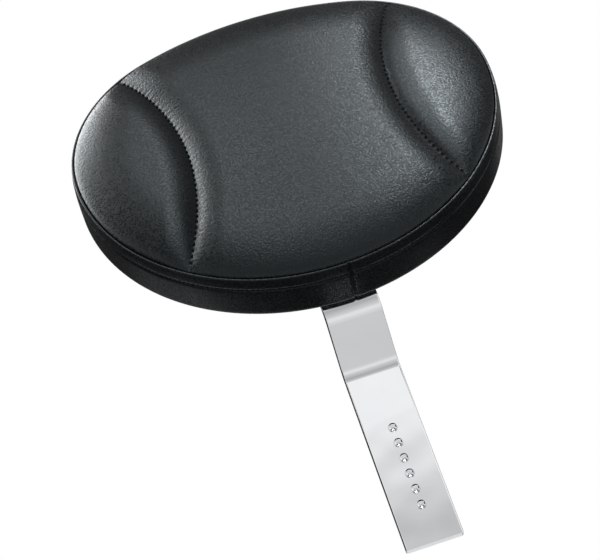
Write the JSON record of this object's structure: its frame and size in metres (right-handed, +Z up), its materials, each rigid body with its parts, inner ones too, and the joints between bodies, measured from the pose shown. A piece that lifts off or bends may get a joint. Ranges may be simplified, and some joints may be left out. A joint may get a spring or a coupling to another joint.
{
  "type": "motorcycle rider backrest",
  "caption": "Rounded upholstered backrest pad with curved side panels, bolted to a bent flat chromed post with detent dimples that plugs into a seat bracket.",
  "frame": {"origin": "middle of the lower end of the post's plug", "axes": "+Z up the straight plug end of the post, X across the pad, -Y towards the rider's back"},
  "size_m": [0.3046, 0.109, 0.4302],
  "materials": {
    "chrome_steel": "polished chrome plate",
    "zinc_steel": "zinc plated",
    "black_steel": "black oxide",
    "plywood": "sanded plywood",
    "foam": "open-cell foam",
    "cover": "fine grain, semi-gloss",
    "back_panel": "fine moulded texture"
  },
  "bodies": {
    "root": {"post": "chrome_steel", "post_bolts": "zinc_steel", "post_lock_washers": "zinc_steel", "tee_nuts": "zinc_steel", "cover_staples": "zinc_steel", "back_panel_screws": "black_steel", "base_board": "plywood", "foam_core": "foam", "cover_centre_panel": "cover", "cover_left_panel": "cover", "cover_right_panel": "cover", "side_band": "cover", "back_panel": "back_panel"}
  },
  "joints": []
}
